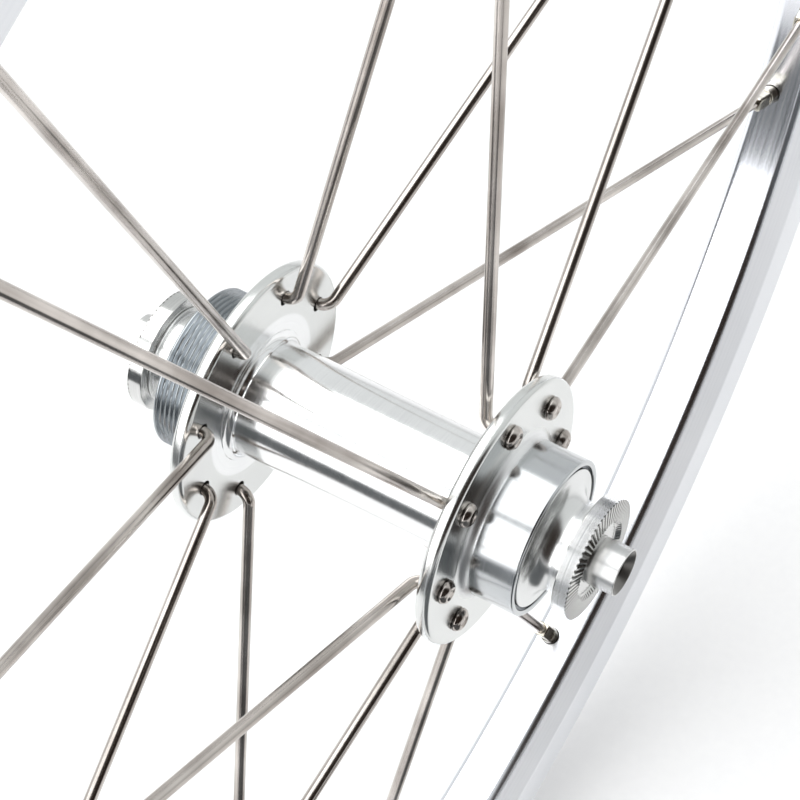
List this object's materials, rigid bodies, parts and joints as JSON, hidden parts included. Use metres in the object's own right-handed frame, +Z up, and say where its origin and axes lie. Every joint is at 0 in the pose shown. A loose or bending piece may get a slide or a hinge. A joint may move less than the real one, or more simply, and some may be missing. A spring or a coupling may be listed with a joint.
{
  "type": "bicycle wheel",
  "caption": "Spoked bicycle wheel with paired spokes, a double-wall rim and a hollow-axle hub for a quick-release skewer, threaded on one end.",
  "frame": {"origin": "wheel's centre: on the axle's axis, midway between the flanges and the locknuts, in the rim's middle plane", "axes": "+Y along the axle towards the threaded hub end, -Y towards the plain hub end, +Z up through the valve hole, +X forward; positive spin is about +Y"},
  "size_m": [0.4169, 0.1026, 0.417],
  "materials": {
    "hub_alloy": "polished",
    "cap_alloy": "polished",
    "axle_alloy": "turned",
    "locknut_steel": "chromed, serrated face",
    "rim_alloy": "satin anodised",
    "spoke_steel": "bright drawn",
    "nipple_brass": "nickel plated",
    "bearing_steel": "ground",
    "cage_brass": "plain",
    "seal_rubber": "matt"
  },
  "bodies": {
    "axle_assembly": {"axle": "axle_alloy", "locknut_near": "locknut_steel", "locknut_far": "locknut_steel", "cap_near": "cap_alloy", "cap_far": "cap_alloy", "spacer_sleeve": "axle_alloy", "inner_ring_near": "bearing_steel", "inner_ring_far": "bearing_steel"},
    "wheel": {"hub_shell": "hub_alloy", "rim": "rim_alloy", "rim_joint_sleeve": "rim_alloy", "outer_ring_near": "bearing_steel", "outer_ring_far": "bearing_steel", "seal_in_near": "seal_rubber", "seal_out_near": "seal_rubber", "seal_in_far": "seal_rubber", "seal_out_far": "seal_rubber", "spoke_near_1": "spoke_steel", "spoke_near_2": "spoke_steel", "spoke_near_3": "spoke_steel", "spoke_near_4": "spoke_steel", "spoke_near_5": "spoke_steel", "spoke_near_6": "spoke_steel", "spoke_near_7": "spoke_steel", "spoke_near_8": "spoke_steel", "spoke_far_1": "spoke_steel", "spoke_far_2": "spoke_steel", "spoke_far_3": "spoke_steel", "spoke_far_4": "spoke_steel", "spoke_far_5": "spoke_steel", "spoke_far_6": "spoke_steel", "spoke_far_7": "spoke_steel", "spoke_far_8": "spoke_steel", "nipple_near_1": "nipple_brass", "nipple_near_2": "nipple_brass", "nipple_near_3": "nipple_brass", "nipple_near_4": "nipple_brass", "nipple_near_5": "nipple_brass", "nipple_near_6": "nipple_brass", "nipple_near_7": "nipple_brass", "nipple_near_8": "nipple_brass", "nipple_far_1": "nipple_brass", "nipple_far_2": "nipple_brass", "nipple_far_3": "nipple_brass", "nipple_far_4": "nipple_brass", "nipple_far_5": "nipple_brass", "nipple_far_6": "nipple_brass", "nipple_far_7": "nipple_brass", "nipple_far_8": "nipple_brass"},
    "ball_set_near": {"balls_near": "bearing_steel", "cage_near": "cage_brass"},
    "ball_set_far": {"balls_far": "bearing_steel", "cage_far": "cage_brass"}
  },
  "joints": [
    {"name": "wheel_spin", "type": "hinge", "parent": "axle_assembly", "child": "wheel", "pos_m": [0, 0, 0], "axis": [0, 1, 0], "continuous": true},
    {"name": "ball_set_near_spin", "type": "hinge", "parent": "axle_assembly", "child": "ball_set_near", "pos_m": [0, -0.0318, 0], "axis": [0, 1, 0], "continuous": true},
    {"name": "ball_set_far_spin", "type": "hinge", "parent": "axle_assembly", "child": "ball_set_far", "pos_m": [0, 0.0318, 0], "axis": [0, 1, 0], "continuous": true}
  ],
  "couplings": [
    {"joint": "ball_set_near_spin", "follows": "wheel_spin", "ratio": 0.61782},
    {"joint": "ball_set_far_spin", "follows": "wheel_spin", "ratio": 0.61782}
  ]
}
